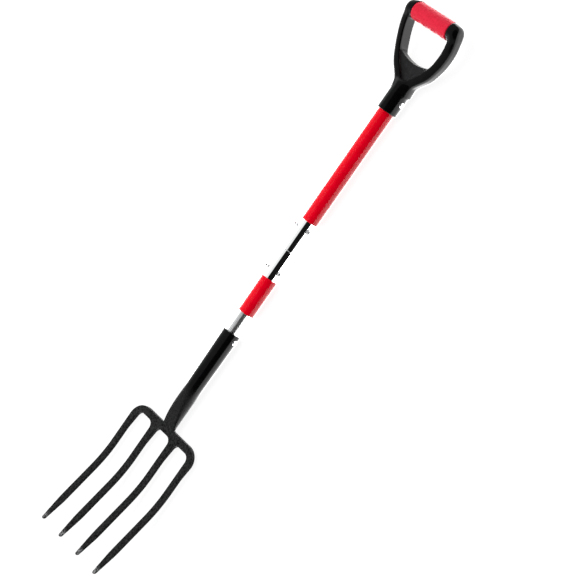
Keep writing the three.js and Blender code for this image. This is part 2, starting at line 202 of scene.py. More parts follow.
def ramp(nodes, low, high, color_low, color_high):
    """A colour ramp with its two colours at low and high."""
    node = nodes.new("ShaderNodeValToRGB")
    node.color_ramp.elements[0].position = low
    node.color_ramp.elements[0].color = (*color_low, 1)
    node.color_ramp.elements[1].position = high
    node.color_ramp.elements[1].color = (*color_high, 1)
    return node


def noise(tree, size_mm, detail=3.0, stretch=(1, 1, 1), rough=0.55):
    """Noise with features of about size_mm, fixed to the tool."""
    place = tree.nodes.new("ShaderNodeTexCoord")
    scale = tree.nodes.new("ShaderNodeMapping")
    scale.inputs["Scale"].default_value = [1000 / (size_mm * s) for s in stretch]
    node = tree.nodes.new("ShaderNodeTexNoise")
    node.inputs["Scale"].default_value = 1
    node.inputs["Detail"].default_value = detail
    node.inputs["Roughness"].default_value = rough
    tree.links.new(place.outputs["Object"], scale.inputs["Vector"])
    tree.links.new(scale.outputs["Vector"], node.inputs["Vector"])
    return node.outputs["Fac"]


def make_look(name, shade, tint, roughness, bumps, **sockets):
    """A material with mottled colour, uneven roughness and layers of fine relief.

    shade and tint are the two ends of the colour; roughness is (low, high, size in mm);
    each bump is (size in mm, height in mm, stretch).
    """
    look = bpy.data.materials.new(name)
    look.use_nodes = True
    tree = look.node_tree
    shader = tree.nodes["Principled BSDF"]
    for key, value in sockets.items():
        shader.inputs[key.replace("_", " ")].default_value = value
    smooth, dull, size = roughness
    mottle = ramp(tree.nodes, NOISE_LOW, NOISE_HIGH, shade, tint)
    tree.links.new(noise(tree, 1.3 * size, 4), mottle.inputs["Fac"])
    tree.links.new(mottle.outputs["Color"], shader.inputs["Base Color"])
    uneven = ranged(tree, noise(tree, size), NOISE_LOW, NOISE_HIGH, smooth, dull, "LINEAR")
    tree.links.new(uneven, shader.inputs["Roughness"])
    normal = None
    for grain, height, stretch in bumps:
        bump = tree.nodes.new("ShaderNodeBump")
        bump.inputs["Strength"].default_value = 1
        bump.inputs["Distance"].default_value = height / 1000
        tree.links.new(noise(tree, grain, 3, stretch), bump.inputs["Height"])
        if normal:
            tree.links.new(normal, bump.inputs["Normal"])
        normal = bump.outputs["Normal"]
    if normal:
        tree.links.new(normal, shader.inputs["Normal"])
    return look


def along_tool(tree, x0, x1):
    """1 at x0 and 0 at x1, in millimetres along the tool."""
    place = tree.nodes.new("ShaderNodeTexCoord")
    parts = tree.nodes.new("ShaderNodeSeparateXYZ")
    tree.links.new(place.outputs["Object"], parts.inputs["Vector"])
    return ranged(tree, parts.outputs["X"], x0 / 1000, x1 / 1000, 1, 0)


def mixed(tree, kind, factor, first, second):
    """A mix of a socket and a second socket or number."""
    node = tree.nodes.new("ShaderNodeMix")
    node.data_type = kind
    other = node.inputs[MIX_INPUT[kind] + 1]
    tree.links.new(factor, node.inputs[0])
    tree.links.new(first, node.inputs[MIX_INPUT[kind]])
    if isinstance(second, bpy.types.NodeSocket):
        tree.links.new(second, other)
    else:
        other.default_value = second
    return node.outputs[MIX_RESULT[kind]]


def blend_along(look, reach, grain, colors, roughness=None):
    """Another colour, and another roughness if given, at one end of a piece: full at reach[0] and
    gone at reach[1].

    grain is (size in mm, detail, stretch, low, high) of the noise that mixes the two colors.
    """
    tree = look.node_tree
    shader = tree.nodes["Principled BSDF"]
    fade = along_tool(tree, *reach)
    size, detail, stretch, low, high = grain
    blotches = ramp(tree.nodes, low, high, *colors)
    tree.links.new(noise(tree, size, detail, stretch), blotches.inputs["Fac"])
    base = shader.inputs["Base Color"]
    tree.links.new(
        mixed(tree, "RGBA", fade, base.links[0].from_socket, blotches.outputs["Color"]), base)
    if roughness is not None:
        rough = shader.inputs["Roughness"]
        tree.links.new(mixed(tree, "FLOAT", fade, rough.links[0].from_socket, roughness), rough)


# How far the noise is stretched along x, y and z.
EVEN = (1, 1, 1)
ALONG = (12, 1, 1)
STREAKS = (80, 1, 1)
# Where a second colour is full and where it is gone, in millimetres along the tool.
TIP_WEAR_AND_HIGHLIGHT = (-552, -541)
MATT_FOOT = (-236, -200)
BRUSHED_END_PAINTED_STREAKS = (-45, -35)

forged_look = make_look(
    "forged_powder_coat", (0.0008, 0.0008, 0.001), (0.026, 0.026, 0.0266), (0.5, 0.7, 2.5),
    [(2.4, 0.12, EVEN), (0.9, 0.05, EVEN)], Specular_IOR_Level=0.01)
# Lighter mottled grey towards the tips: partly worn paint, partly a painted highlight.
blend_along(
    forged_look, TIP_WEAR_AND_HIGHLIGHT, (3.0, 2, EVEN, 0.4, 0.62),
    ((0.012, 0.012, 0.012), (0.20, 0.20, 0.205)))
socket_look = make_look(
    "socket_powder_coat", (0.0008, 0.0008, 0.001), (0.002, 0.002, 0.0023), (0.10, 0.15, 6),
    [(4.0, 0.015, EVEN), (0.6, 0.004, EVEN)], Specular_IOR_Level=0.08)
blend_along(
    socket_look, MATT_FOOT, (2.4, 4, EVEN, NOISE_LOW, NOISE_HIGH),
    ((0.0008, 0.0008, 0.001), (0.013, 0.013, 0.0134)), roughness=0.6)
weld_look = make_look(
    "painted_weld", (0.004, 0.004, 0.0045), (0.01, 0.01, 0.0105), (0.4, 0.6, 2),
    [(0.8, 0.05, EVEN)], Specular_IOR_Level=0.2)
chrome_look = make_look(
    "chrome_plate", (0.88, 0.885, 0.89), (0.94, 0.945, 0.95), (0.05, 0.10, 8),
    [(0.5, 0.002, ALONG)], Metallic=1.0)
# Rougher, brushed chrome at the socket end, with darker streaks along the tube painted into its
# colour as reflections.
blend_along(
    chrome_look, BRUSHED_END_PAINTED_STREAKS, (3.2, 1, STREAKS, 0.42, 0.58),
    ((0.50, 0.505, 0.51), (0.95, 0.955, 0.96)), roughness=0.36)
steel_look = make_look(
    "inner_zinc_steel", (0.42, 0.43, 0.44), (0.58, 0.585, 0.59), (0.3, 0.45, 4),
    [(0.4, 0.01, ALONG)], Metallic=1.0)
sleeve_look = make_look(
    "red_gloss_sleeve", (0.54, 0.0001, 0.008), (0.62, 0.0004, 0.012), (0.12, 0.17, 9),
    [(9.0, 0.008, EVEN), (1.6, 0.0008, EVEN)], Specular_IOR_Level=0.11)
moulded_look = make_look(
    "satin_black_moulding", (0.0008, 0.0008, 0.001), (0.002, 0.002, 0.0022), (0.12, 0.17, 5),
    [(3.5, 0.02, EVEN), (0.6, 0.008, EVEN)], Specular_IOR_Level=0.08)
web_look = make_look(
    "textured_black_web", (0.008, 0.008, 0.0085), (0.016, 0.016, 0.017), (0.5, 0.62, 4),
    [(1.6, 0.05, EVEN), (0.5, 0.02, EVEN)], Specular_IOR_Level=0.05)
rubber_look = make_look(
    "grip_soft_rubber", (0.44, 0.004, 0.020), (0.54, 0.010, 0.034), (0.5, 0.62, 3),
    [(1.2, 0.06, EVEN), (0.5, 0.03, EVEN)], Specular_IOR_Level=0.1, Sheen_Weight=0.05,
    Sheen_Roughness=0.5)
fastener_look = make_look(
    "bright_zinc", (0.80, 0.81, 0.82), (0.92, 0.925, 0.93), (0.16, 0.3, 1.5),
    [(0.4, 0.01, EVEN)], Metallic=1.0)


# ------------------------------------------------------------------ mesh tools
def make_piece(name, points, faces, look, node, slot):
    """A new object from points in millimetres, which stands for one CAD node."""
    mesh = bpy.data.meshes.new(name)
    place = np.asarray(points, float) / 1000
    place[:, 2] += AXIS_Z
    mesh.from_pydata(place.tolist(), [], [list(f) for f in faces])
    mesh.validate()
    mesh.polygons.foreach_set("use_smooth", np.ones(len(mesh.polygons), bool))
    mesh.materials.append(look)
    piece = bpy.data.objects.new(name, mesh)
    bpy.context.scene.collection.objects.link(piece)
    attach(piece, "root")
    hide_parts(node)
    return piece


def rounded(profile, radius, steps=4):
    """An open line of (s, r) points with each inner corner replaced by a small arc.

    A point given as (s, r, radius) has its own rounding.
    """
    result = [tuple(profile[0][:2])]
    for before, corner, after in zip(profile, profile[1:], profile[2:]):
        own = corner[2] if len(corner) > 2 else radius
        a, b, c = (np.array(p[:2], float) for p in (before, corner, after))
        # An arc takes up to just under half of each side.
        reach = min(own, np.linalg.norm(a - b) / 2.05, np.linalg.norm(c - b) / 2.05)
        start = b + (a - b) / np.linalg.norm(a - b) * reach
        end = b + (c - b) / np.linalg.norm(c - b) * reach
        for i in range(steps + 1):
            t = i / steps
            result.append(tuple((1 - t) ** 2 * start + 2 * t * (1 - t) * b + t ** 2 * end))
    result.append(tuple(profile[-1][:2]))
    return result


def turned(profile, sides=96, axis="x", shape=None):
    """Points and faces of a profile of (s, r) turned about the x or y axis.

    shape(s, angle, r) may change a radius. A closed profile repeats its first point; an open
    one starts and ends on the axis.
    """
    closed = np.allclose(profile[0], profile[-1])
    rows = profile[:-1] if closed else profile
    points, rings = [], []
    for s, r in rows:
        if r < 1e-6:
            rings.append([len(points)])
            points.append((s, 0, 0))
            continue
        rings.append(list(range(len(points), len(points) + sides)))
        for i in range(sides):
            angle = 2 * math.pi * i / sides
            radius = shape(s, angle, r) if shape else r
            points.append((s, radius * math.cos(angle), radius * math.sin(angle)))
    faces = []
    pairs = list(zip(rings, rings[1:])) + ([(rings[-1], rings[0])] if closed else [])
    for low, high in pairs:
        for i in range(sides):
            j = (i + 1) % sides
            ring = [low[i % len(low)], low[j % len(low)], high[j % len(high)], high[i % len(high)]]
            faces.append(list(dict.fromkeys(ring)))
    if axis == "y":
        points = [(-b, s, c) for s, b, c in points]
    return points, faces


def stacked(rows, sides=96, closed=False):
    """Points and faces of rings around the y axis.

    A row is (y, radius), each a number or a function of the angle. Closed rings run on from the
    last row to the first; open ones get flat ends.
    """
    def at(value, angle):
        return value(angle) if callable(value) else value

    points, faces = [], []
    for y, radius in rows:
        for i in range(sides):
            angle = 2 * math.pi * i / sides
            r = at(radius, angle)
            points.append((r * math.cos(angle), at(y, angle), r * math.sin(angle)))
    count = len(rows)
    for i in range(count if closed else count - 1):
        a, b = i * sides, (i + 1) % count * sides
        for j in range(sides):
            k = (j + 1) % sides
            faces.append([a + j, b + j, b + k, a + k])
    if not closed:
        faces.append(list(range(sides)))
        faces.append(list(range((count - 1) * sides, count * sides))[::-1])
    return points, faces


def moved(shape, offset):
    """The same points and faces, shifted by offset."""
    points, faces = shape
    return [tuple(np.array(p) + offset) for p in points], faces


def joined(*shapes):
    """Several shapes as one list of points and one of faces."""
    points, faces = [], []
    for more_points, more_faces in shapes:
        start = len(points)
        points += list(more_points)
        faces += [[i + start for i in f] for f in more_faces]
    return points, faces


def outline_distance(outline, xs, ys):
    """Signed distance to a closed outline on the grid xs by ys: negative inside."""
    x, y = xs[:, None], ys[None, :]
    best = np.full((len(xs), len(ys)), 1e9)
    inside = np.zeros(best.shape, bool)
    for (ax, ay), (bx, by) in zip(outline, outline[1:] + outline[:1]):
        dx, dy = bx - ax, by - ay
        length2 = dx * dx + dy * dy
        if length2 < 1e-12:
            continue
        t = np.clip(((x - ax) * dx + (y - ay) * dy) / length2, 0, 1)
        best = np.minimum(best, (x - ax - t * dx) ** 2 + (y - ay - t * dy) ** 2)
        if ay != by:
            crosses = (ay > y) != (by > y)
            inside ^= crosses & (x < ax + dx * (y - ay) / dy)
    return np.where(inside, -np.sqrt(best), np.sqrt(best))


def both(a, b, radius):
    """Intersection of two distance fields, with the edge rounded to radius."""
    ra, rb = a + radius, b + radius
    outside = np.hypot(np.maximum(ra, 0), np.maximum(rb, 0))
    return outside + np.minimum(np.maximum(ra, rb), 0) - radius


def either(a, b, radius):
    """Union of two distance fields, with the inside corner filleted to radius."""
    return -both(-a, -b, radius)


def isosurface(field, low, high, step):
    """Points and quads of the surface field(x, y, z) = 0, by one point in each crossed cell."""
    xs, ys, zs = (np.arange(low[i] - 2 * step, high[i] + 3 * step, step) for i in range(3))
    value = field(xs[:, None, None], ys[None, :, None], zs[None, None, :])
    inside = value < 0
    count = np.zeros(tuple(n - 1 for n in value.shape), np.int8)
    for i in (0, 1):
        for j in (0, 1):
            for k in (0, 1):
                nx, ny, nz = count.shape
                count += inside[i:nx + i, j:ny + j, k:nz + k]
    cells = np.argwhere((count > 0) & (count < 8))
    index = np.full(count.shape, -1)
    index[tuple(cells.T)] = np.arange(len(cells))
    total = np.zeros((len(cells), 3))
    hits = np.zeros(len(cells))
    faces = []
    for axis in range(3):
        unit = np.eye(3, dtype=int)[axis]
        side_a, side_b = (np.eye(3, dtype=int)[(axis + n) % 3] for n in (1, 2))
        for offset in (0 * side_a, side_a, side_b, side_a + side_b):
            start = cells + offset
            a = value[tuple(start.T)]
            b = value[tuple((start + unit).T)]
            crossed = (a < 0) != (b < 0)
            t = np.where(crossed, a / np.where(crossed, a - b, 1), 0)
            total += np.where(crossed[:, None], start + t[:, None] * unit, 0)
            hits += crossed
        first = inside.take(range(value.shape[axis] - 1), axis)
        second = inside.take(range(1, value.shape[axis]), axis)
        edges = np.argwhere(first != second)
        outward = first[tuple(edges.T)]
        quads = np.stack([
            index[tuple((edges - o).T)] for o in (0 * side_a, side_a, side_a + side_b, side_b)
        ], 1)
        quads[~outward] = quads[~outward][:, ::-1]
        faces += quads.tolist()
    points = total / hits[:, None] * step + np.array([xs[0], ys[0], zs[0]])
    return points, faces


def relaxed(points, faces, rounds, amount=0.5):
    """Evens out the quads by moving each point towards the mean of its neighbours."""
    quads = np.array(faces)
    ends = np.concatenate([quads[:, [i, (i + 1) % 4]] for i in range(4)])
    for _ in range(rounds):
        total = np.zeros_like(points)
        hits = np.zeros(len(points))
        for a, b in ((0, 1), (1, 0)):
            np.add.at(total, ends[:, a], points[ends[:, b]])
            np.add.at(hits, ends[:, a], 1)
        points = points + amount * (total / hits[:, None] - points)
    return points


def soft_mesh(field, low, high, step, rounds=2):
    """Points and faces of a field's surface, with evened quads."""
    points, faces = isosurface(field, low, high, step)
    return relaxed(points, faces, rounds), faces


def arc(cx, cy, radius, start, end, steps=14):
    """Points of an arc, with its angles in degrees."""
    angles = np.radians(np.linspace(start, end, steps + 1))
    return [(cx + radius * math.cos(a), cy + radius * math.sin(a)) for a in angles]


def smooth_line(points, steps=12):
    """A Catmull-Rom line through the points."""
    control = [np.array(p, float) for p in points]
    control = [2 * control[0] - control[1]] + control + [2 * control[-1] - control[-2]]
    result = []
    for p0, p1, p2, p3 in zip(control, control[1:], control[2:], control[3:]):
        for i in range(steps):
            t = i / steps
            result.append(tuple(0.5 * (
                2 * p1 + (p2 - p0) * t + (2 * p0 - 5 * p1 + 4 * p2 - p3) * t ** 2
                + (3 * p1 - p0 - 3 * p2 + p3) * t ** 3)))
    result.append(tuple(control[-2]))
    return result


# ------------------------------------------------------------------ fork head
head_low, head_high = span("fork_head")
TIP_X = head_low.x
BAR_OUTER_X = head_high.x
HALF_WIDTH = head_high.y
TINE_COUNT = 4
TINE_W = 12.0
TINE_PITCH = (2 * HALF_WIDTH - TINE_W) / (TINE_COUNT - 1)
TIP_W = 6.2
TAPER = 46.0
BAR_W = 13.2
TOP_Z = -1.5
ROOT_THICK = 10.0
TINE_THICK = 5.6
TIP_THICK = 4.2
BEND_START = -376.0
BEND_R = 232.0
BEND_ANGLE = math.radians(15.2)
SHOULDER_R = 28.0
CROTCH_R = 12.0
TAPER_BLEND = 6.0  # half of the stretch that softens the start of the taper
TAPER_TRIM = 0.35
ROOT_START = 46.0  # the tines start to thicken this far from the crossbar
ROOT_RUN = 44.0
PLAN_GROWTH = 0.45  # rounded edges make the tines look thin, and the growth makes up for it
FACE_GROWTH = 0.3
HEAD_EDGE = 1.0
TANG_GROWTH = 0.12
TANG_FILLET = 2.5
HEAD_STEP = 0.9


def head_outline():
    """Plan of the head: a comb with round shoulders, round crotches and tapered tips."""
    line = arc(BAR_OUTER_X - SHOULDER_R, HALF_WIDTH - SHOULDER_R, SHOULDER_R, 0, 90)
    tip = TIP_W / 2
    taper_x = TIP_X + TAPER
    crotch_x = BAR_OUTER_X - BAR_W - CROTCH_R
    for i in range(TINE_COUNT):
        y = HALF_WIDTH - TINE_W / 2 - i * TINE_PITCH
        line.append((taper_x + TAPER_BLEND, y + TINE_W / 2))
        line.append((taper_x - TAPER_BLEND, y + TINE_W / 2 - TAPER_TRIM))
        line += arc(TIP_X + tip, y, tip, 90, 270, 8)
        line.append((taper_x - TAPER_BLEND, y - TINE_W / 2 + TAPER_TRIM))
        line.append((taper_x + TAPER_BLEND, y - TINE_W / 2))
        if i < TINE_COUNT - 1:
            line += arc(crotch_x, y - TINE_W / 2 - CROTCH_R, CROTCH_R, 90, 0)
            line += arc(crotch_x, y - TINE_PITCH + TINE_W / 2 + CROTCH_R, CROTCH_R, 0, -90)
    line += arc(BAR_OUTER_X - SHOULDER_R, -HALF_WIDTH + SHOULDER_R, SHOULDER_R, -90, 0)
    return line


def head_top(x):
    """Height and slope of the head's upper face at x."""
    along = np.clip((BEND_START - x) / (BEND_R * math.sin(BEND_ANGLE)), 0, 1)
    angle = np.arcsin(along * math.sin(BEND_ANGLE))
    run = np.maximum(BEND_START - BEND_R * math.sin(BEND_ANGLE) - x, 0)
    height = TOP_Z + BEND_R * (1 - np.cos(angle)) + run * math.tan(BEND_ANGLE)
    return height, angle


def head_thickness(x):
    """Deep at the crossbar, even along the tines, and thinner towards the tips."""
    root = np.clip((x - (BAR_OUTER_X - BAR_W - ROOT_START)) / ROOT_RUN, 0, 1)
    tip = np.clip((TIP_X + TAPER - x) / TAPER, 0, 1)
    smooth = root * root * (3 - 2 * root)
    return TINE_THICK + (ROOT_THICK - TINE_THICK) * smooth - (TINE_THICK - TIP_THICK) * tip


def head_field(x, y, z):
    """The head cut from a bent slab, with a filleted tang in the end of the socket."""
    plan = outline_distance(head_outline(), x.ravel(), y.ravel())[:, :, None]
    top, angle = head_top(x)
    thick = head_thickness(x)
    middle = (z - top) * np.cos(angle) + thick / 2
    slab = np.abs(middle) - thick / 2
    body = both(plan - PLAN_GROWTH, slab - FACE_GROWTH, HEAD_EDGE)
    tang = np.maximum(socket_field(x, y, z) - TANG_GROWTH, TANG_END_X - x)
    tang = np.maximum(tang, x - TANG_START_X)
    return either(body, tang, TANG_FILLET)


# ------------------------------------------------------------------ socket
socket_low, socket_high = span("head_socket")
MOUTH_X = socket_high.x
MOUTH_R = 16.8
NECK_R = 15.4
NECK_X = -200.0
TUBE_R = 12.5
HEEL_X = -260.0
TANG_START_X = BAR_OUTER_X + 7
TANG_END_X = BAR_OUTER_X - 5
TANG_ROOM = Vector((9, 0, 0))
FOOT_X = BAR_OUTER_X + 2  # the tang takes over from the socket here
BORE_END_X = -204.0
SOCKET_EDGE = 3.0
MOUTH_EDGE = 1.0
BORE_EDGE = 0.7
BORE_GAP = 0.35
SOCKET_STEP = 0.8


def socket_field(x, y, z):
    """Round socket with its front sloping down to the face of the crossbar."""
    blend = np.clip((x - NECK_X) / (MOUTH_X - NECK_X), 0, 1)
    radius = NECK_R + (MOUTH_R - NECK_R) * blend
    round_wall = np.hypot(y, z) - radius
    drop = np.clip((NECK_X - x) / (NECK_X - BAR_OUTER_X), 0, 1)
    front = NECK_R + (TOP_Z - NECK_R) * drop ** 2
    lean = np.cos(np.arctan(2 * drop * (NECK_R - TOP_Z) / (NECK_X - BAR_OUTER_X)))
    body = both(round_wall, (z - front) * lean, SOCKET_EDGE)
    rise = (NECK_R + TOP_Z - ROOT_THICK) / (HEEL_X - BAR_OUTER_X)
    heel = -NECK_R + np.maximum(HEEL_X - x, 0) * rise
    return both(body, heel - z, SOCKET_EDGE)


def open_socket_field(x, y, z):
    """The socket with its mouth, its bore and an end just short of the crossbar."""
    body = both(socket_field(x, y, z), x - MOUTH_X, MOUTH_EDGE)
    body = np.maximum(body, FOOT_X - x)
    bore = np.maximum(np.hypot(y, z) - TUBE_R - BORE_GAP, BORE_END_X - x)
    return both(body, -bore, BORE_EDGE)


make_piece(
    "forged_fork_head", *soft_mesh(head_field, head_low, head_high + TANG_ROOM, HEAD_STEP),
    forged_look, "fork_head", "forged_head")
make_piece(
    "socket_body", *soft_mesh(open_socket_field, socket_low, socket_high, SOCKET_STEP),
    socket_look, "head_socket", "socket_paint")


# ------------------------------------------------------------------ weld beads
def weld_bead(side):
    """A rippled fillet bead down one side of the socket, on the crossbar's tread side."""
    bead_r, ripple, lobes = 2.0, 0.22, 11
    start_angle, sweep = -3, 42
    fillet_x, fillet_r = BAR_OUTER_X + 0.2, NECK_R + 0.1
    taper = 5  # each end tapers over a fifth of the length
    rows, section = 90, 14
    points, faces = [], []
    for i in range(rows + 1):
        t = i / rows
        angle = math.radians(start_angle - sweep * t)
        outward = np.array((0, math.cos(angle) * side, math.sin(angle)))
        centre = np.array((fillet_x, 0, 0)) + fillet_r * outward
        end = min(1, taper * t, taper * (1 - t)) ** 0.5 if 0 < t < 1 else 0.02
        size = (bead_r + ripple * abs(math.sin(lobes * math.pi * t))) * end
        for j in range(section):
            turn = 2 * math.pi * j / section
            points.append(tuple(centre + size * (
                math.cos(turn) * np.array((1, 0, 0)) + math.sin(turn) * outward)))
    for i in range(rows):
        for j in range(section):
            k = (j + 1) % section
            ring = [i * section + j, i * section + k, (i + 1) * section + k, (i + 1) * section + j]
            faces.append(ring if side > 0 else ring[::-1])
    first, last = list(range(section)), list(range(rows * section, (rows + 1) * section))
    faces += [first[::-1], last] if side > 0 else [first, last[::-1]]
    return points, faces


make_piece("far_weld_bead", *weld_bead(1), weld_look, "far_socket_weld", "weld")
make_piece("near_weld_bead", *weld_bead(-1), weld_look, "near_socket_weld", "weld")


# ------------------------------------------------------------------ shaft
def pipe(x0, x1, outer, inner, edge):
    """A round tube with rounded rims."""
    loop = rounded([
        ((x0 + x1) / 2, outer), (x1, outer), (x1, inner), (x0, inner), (x0, outer),
        ((x0 + x1) / 2, outer)], edge)
    return turned(loop)


GAP = 0.3
WALL = 1.6
TUBE_EDGE = 0.7
SLEEVE_EDGE = 0.9
for node, name in (("lower_tube", "chrome_lower_tube"), ("upper_tube", "chrome_upper_tube")):
    low, high = span(node)
    make_piece(name, *pipe(low.x, high.x, TUBE_R, TUBE_R - WALL, TUBE_EDGE), chrome_look, node,
               "chrome_tube")
for node, name in (("lower_sleeve", "lower_red_sleeve"), ("upper_sleeve", "upper_red_sleeve")):
    low, high = span(node)
    make_piece(name, *pipe(low.x, high.x, high.y, TUBE_R + GAP, SLEEVE_EDGE), sleeve_look, node,
               "red_sleeve")
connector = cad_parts["tube_connector"]
connector.data.materials.clear()
connector.data.materials.append(steel_look)


# ------------------------------------------------------------------ D-handle
yoke_low, _ = span("handle_yoke")
grip_low, grip_high = span("hand_grip")
COLLAR_START_X = yoke_low.x
COLLAR_R = -yoke_low.z
FRAME_X = 422.0
FRAME_LEAN = math.radians(15)
FRAME_THICK = 26.0
FRAME_SAG = 4.4
LEG_W = 17.0
WEB_THICK = 14.0
GRIP_U = 124.0
GRIP_HALF = grip_high.y
GRIP_R = (grip_high.z - grip_low.z) / 2
BAR_R = 11.0
BOSS_R = 15.4
LEG_OUTER = [(30, 43.0), (52, 54.4), (70, 61.0), (92, 66.0)]
CORNER_U, CORNER_V, CORNER_R = 114.5, 40.5, 26.5
OPENING_FOOT_U = 44.0
SLEEVE_R = span("upper_sleeve")[1].y
SLEEVE_END_X = span("upper_sleeve")[1].x
# Radii of the rounded edges and of the fillets between the handle's parts.
LEG_ROUND = 9.0
OPENING_EDGE = 3.2
POCKET_FLOOR_ROUND = 5.0
POCKET_EDGE = 1.6
BOSS_ROUND = 9.0
BOSS_FILLET = 5.0
HAND_GAP_EDGE = 0.9
COLLAR_EDGE = 1.2
COLLAR_END_ROUND = 8.0
COLLAR_FILLET = 6.0
BOSS_INSET = 3.5  # the bosses end this far inside the frame's sides
HAND_GAP_REACH = 22.0  # the gap for the grip starts this far from its axis
BAR_OVERLAP = 4.0  # the bar runs into the bosses, and the collar into the frame
COLLAR_OVERLAP = 9.0
HANDLE_STEP = 0.9
HANDLE_LOW = (-62, -69, -27)  # a box around the handle in its own u, v and w
HANDLE_HIGH = (GRIP_U + 19, 69, 33)
WEB_MARGIN = 0.8
WEB_END_U = 78


def flipped(line):
    """The mirror image of half an outline, in reverse order."""
    return [(u, -v) for u, v in reversed(line)]


def frame_outline():
    """Plan of the leaning frame: the legs spread from the collar to two round corners."""
    side = smooth_line([(-12, COLLAR_R), (-4, COLLAR_R + 0.6), (8, 24), *LEG_OUTER,
                        (CORNER_U, CORNER_V + CORNER_R)])
    corner = arc(CORNER_U, CORNER_V, CORNER_R, 90, 0)
    half = side + corner
    return half + flipped(half)


def opening_outline():
    """Plan of the hand opening, from its shallow foot to beyond the grip's axis."""
    inner = [(u, v - LEG_W) for u, v in LEG_OUTER[2:]]
    half = smooth_line([(OPENING_FOOT_U, 0), (OPENING_FOOT_U + 2, 18), (OPENING_FOOT_U + 9, 36),
                        *inner, (CORNER_U, CORNER_V + CORNER_R - LEG_W)])
    half += [(CORNER_U + 4, CORNER_V + CORNER_R - LEG_W)]
    return half + flipped(half)


def pocket_outline():
    """Plan of the hollow between the legs, down to the web."""
    half = smooth_line([(9, 0), (12, 5), (20, 12), (36, 26.5), (52, 37), (66, 42)])
    return half + flipped(half)


def to_tool(u, w):
    """x and z of a point of the leaning frame: u along it, w across its thickness."""
    lean_c, lean_s = math.cos(FRAME_LEAN), math.sin(FRAME_LEAN)
    return FRAME_X + u * lean_c - w * lean_s, u * lean_s + w * lean_c


def yoke_field(u, v, w):
    """The whole handle moulding in the leaning frame's own u, v and w."""
    us, vs = u.ravel(), v.ravel()
    outer = outline_distance(frame_outline(), us, vs)[:, :, None]
    opening = outline_distance(opening_outline(), us, vs)[:, :, None]
    pocket = outline_distance(pocket_outline(), us, vs)[:, :, None]
    depth = np.abs(w + FRAME_SAG * np.sin(np.pi * np.clip(u / GRIP_U, 0, 1)))
    slab = both(outer, depth - FRAME_THICK / 2, LEG_ROUND)
    ring = both(slab, -opening, OPENING_EDGE)
    hollow = both(pocket, WEB_THICK / 2 - depth, POCKET_FLOOR_ROUND)
    ring = both(ring, -hollow, POCKET_EDGE)
    end = np.abs(v) - CORNER_V - CORNER_R + BOSS_INSET
    boss = both(np.hypot(u - GRIP_U, w) - BOSS_R, end, BOSS_ROUND)
    body = either(ring, boss, BOSS_FILLET)
    room = GRIP_HALF + BORE_GAP
    hand_gap = np.maximum(np.abs(v) - room, GRIP_U - HAND_GAP_REACH - u)
    body = both(body, -hand_gap, HAND_GAP_EDGE)
    bar = np.maximum(np.hypot(u - GRIP_U, w) - BAR_R, np.abs(v) - room - BAR_OVERLAP)
    body = np.minimum(body, bar)
    x, z = to_tool(u, w)
    wall = np.hypot(v, z)
    collar = both(wall - COLLAR_R, COLLAR_START_X - x, COLLAR_EDGE)
    collar = both(collar, x - FRAME_X - COLLAR_OVERLAP, COLLAR_END_ROUND)
    body = either(body, collar, COLLAR_FILLET)
    bore = np.maximum(wall - SLEEVE_R - BORE_GAP, x - SLEEVE_END_X - GAP)
    return both(body, -bore, BORE_EDGE)


def over_web(points):
    """Whether each point of the leaning frame lies over the recessed web."""
    cell, length, half_width = 0.5, 80, 60
    us = np.arange(0, length, cell)
    vs = np.arange(-half_width, half_width + cell, cell)
    distance = outline_distance(pocket_outline(), us, vs)
    u, v = points[:, 0], points[:, 1]
    column = np.clip((u / cell).astype(int), 0, len(us) - 1)
    row = np.clip(((v + half_width) / cell).astype(int), 0, len(vs) - 1)
    return (distance[column, row] < -WEB_MARGIN) & (u > 0) & (u < WEB_END_U)


yoke_points, yoke_faces = soft_mesh(yoke_field, HANDLE_LOW, HANDLE_HIGH, HANDLE_STEP)
yoke_x, yoke_z = to_tool(yoke_points[:, 0], yoke_points[:, 2])
yoke = make_piece(
    "moulded_d_handle", np.stack([yoke_x, yoke_points[:, 1], yoke_z], 1), yoke_faces,
    moulded_look, "handle_yoke", "handle_plastic")
yoke.data.materials.append(web_look)
on_web = over_web(np.array([yoke_points[face].mean(0) for face in yoke_faces]))
yoke.data.polygons.foreach_set("material_index", on_web.astype(np.int32))


# ------------------------------------------------------------------ hand grip
WAVE_DEPTH = 0.9
WAVE_LENGTH = GRIP_HALF / 2
WAVE_FADE = 6.0  # the waves fade out this far from the grip's ends
GRIP_END_ROUND = 1.8
GRIP_BORE_EDGE = 0.5
GRIP_STEP = 1.2


def grip_shape(y, angle, radius):
    """Shallow finger waves on the side of the grip that faces the shaft."""
    if radius < BAR_R + 2:
        return radius
    facing = max(0.0, math.cos(angle)) ** 2
    wave = 0.5 + 0.5 * math.cos(2 * math.pi * y / WAVE_LENGTH)
    fade = min(1, (GRIP_HALF - abs(y)) / WAVE_FADE)
    return radius - WAVE_DEPTH * facing * wave * fade


def make_grip():
    """Points and faces of the grip, with its profile cut fine enough for the waves."""
    bore = BAR_R + GAP
    ends = rounded([
        (0, GRIP_R), (GRIP_HALF, GRIP_R, GRIP_END_ROUND), (GRIP_HALF, bore), (-GRIP_HALF, bore),
        (-GRIP_HALF, GRIP_R, GRIP_END_ROUND), (0, GRIP_R)], GRIP_BORE_EDGE, 6)
    profile = []
    for (s0, r0), (s1, r1) in zip(ends, ends[1:]):
        parts = max(1, int(abs(s1 - s0) / GRIP_STEP))
        for i in range(parts):
            t = i / parts
            profile.append((s0 + (s1 - s0) * t, r0 + (r1 - r0) * t))
    profile.append(ends[-1])
    points, faces = turned(profile, 96, "y", grip_shape)
    centre_x = (grip_low.x + grip_high.x) / 2
    centre_z = (grip_low.z + grip_high.z) / 2
    turn = Matrix.Rotation(-FRAME_LEAN, 3, "Y")
    place = Vector((centre_x, 0, centre_z))
    return [tuple(turn @ Vector(p) + place) for p in points], faces


make_piece("rubber_hand_grip", *make_grip(), rubber_look, "hand_grip", "grip_rubber")


